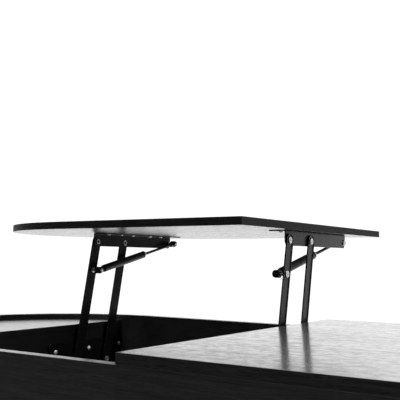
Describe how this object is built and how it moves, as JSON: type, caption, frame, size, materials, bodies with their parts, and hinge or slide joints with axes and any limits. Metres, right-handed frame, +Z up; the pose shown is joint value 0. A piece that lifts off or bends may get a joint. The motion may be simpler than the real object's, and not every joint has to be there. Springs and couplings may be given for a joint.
{
  "type": "lift top coffee table",
  "caption": "Pill-shaped coffee table with storage under one end of its top, which swings up and forward on side-mounted parallelogram linkages with gas springs.",
  "frame": {"origin": "on the floor, under the middle of the body, at the foot of the middle glide", "axes": "+X along the table towards the lifting half, -Y towards the person who sits at the raised top, +Z up"},
  "size_m": [1.385, 0.8895, 0.574],
  "materials": {
    "black_oak": "black-stained open-grain oak veneer, satin lacquer",
    "black_board": "black-stained board, satin",
    "plinth_lacquer": "black lacquer, matt",
    "glide_nylon": "moulded nylon",
    "black_steel": "black powder coat, satin",
    "zinc_steel": "bright zinc plate",
    "spacer_nylon": "black nylon",
    "spring_paint": "black enamel, semi-gloss",
    "rod_black": "black nitrided steel, polished",
    "socket_nylon": "black glass-filled nylon"
  },
  "bodies": {
    "carcass": {"rear_panel": "black_oak", "front_panel": "black_oak", "lift_end_shell": "black_oak", "fixed_end_shell": "black_oak", "centre_divider": "black_board", "tray_partition": "black_board", "end_bulkhead": "black_board", "tray_floor": "black_board", "tray_blocks": "black_board", "storage_floor": "black_board", "floor_battens": "black_board", "base_board": "black_board", "fixed_top": "black_oak", "plinth_rear_rail": "plinth_lacquer", "plinth_front_rail": "plinth_lacquer", "plinth_lift_end": "plinth_lacquer", "plinth_fixed_end": "plinth_lacquer", "plinth_cross_rail": "plinth_lacquer", "floor_glides": "glide_nylon", "base_plate_centre": "black_steel", "base_plate_end": "black_steel", "base_screws_centre": "zinc_steel", "base_screws_end": "zinc_steel", "lower_spacers_centre": "spacer_nylon", "lower_spacers_end": "spacer_nylon", "lower_pivots_centre": "zinc_steel", "lower_pivots_end": "zinc_steel"},
    "rear_links": {"rear_link_centre": "black_steel", "rear_link_end": "black_steel", "lower_stud_centre": "zinc_steel", "lower_stud_end": "zinc_steel"},
    "front_links": {"front_link_centre": "black_steel", "front_link_end": "black_steel"},
    "lift_top": {"lift_top": "black_oak", "upper_bracket_centre": "black_steel", "upper_bracket_end": "black_steel", "flange_screws_centre": "zinc_steel", "flange_screws_end": "zinc_steel", "upper_washers_centre": "spacer_nylon", "upper_washers_end": "spacer_nylon", "upper_pivots_centre": "zinc_steel", "upper_pivots_end": "zinc_steel", "stud_bolt_centre": "zinc_steel", "stud_bolt_end": "zinc_steel"},
    "gas_tubes": {"gas_tube_centre": "spring_paint", "gas_tube_end": "spring_paint", "lower_socket_centre": "socket_nylon", "lower_socket_end": "socket_nylon"},
    "gas_rods": {"gas_rod_centre": "rod_black", "gas_rod_end": "rod_black", "upper_socket_centre": "socket_nylon", "upper_socket_end": "socket_nylon", "upper_stud_centre": "zinc_steel", "upper_stud_end": "zinc_steel"}
  },
  "joints": [
    {"name": "lift", "type": "hinge", "parent": "carcass", "child": "rear_links", "pos_m": [0, -0.13, 0.298], "axis": [-1, 0, 0], "range_deg": [0, 85]},
    {"name": "front_link_swing", "type": "hinge", "parent": "carcass", "child": "front_links", "pos_m": [0, -0.217, 0.298], "axis": [-1, 0, 0], "range_deg": [0, 85]},
    {"name": "top_level", "type": "hinge", "parent": "rear_links", "child": "lift_top", "pos_m": [0, -0.17984, 0.54298], "axis": [-1, 0, 0], "range_deg": [-85, 0]},
    {"name": "spring_swivel", "type": "hinge", "parent": "rear_links", "child": "gas_tubes", "pos_m": [0, -0.16788, 0.48419], "axis": [-1, 0, 0], "range_deg": [-92.54, 0]},
    {"name": "spring_stroke", "type": "slide", "parent": "gas_tubes", "child": "gas_rods", "axis": [0, -0.9746, 0.2242], "range_m": [-0.07544, 0]}
  ],
  "couplings": [
    {"joint": "front_link_swing", "follows": "lift", "ratio": 1},
    {"joint": "top_level", "follows": "lift", "ratio": -1},
    {"joint": "spring_swivel", "follows": "lift", "ratio": -1.0887},
    {"joint": "spring_stroke", "follows": "lift", "m_per_rad": -0.050843}
  ]
}
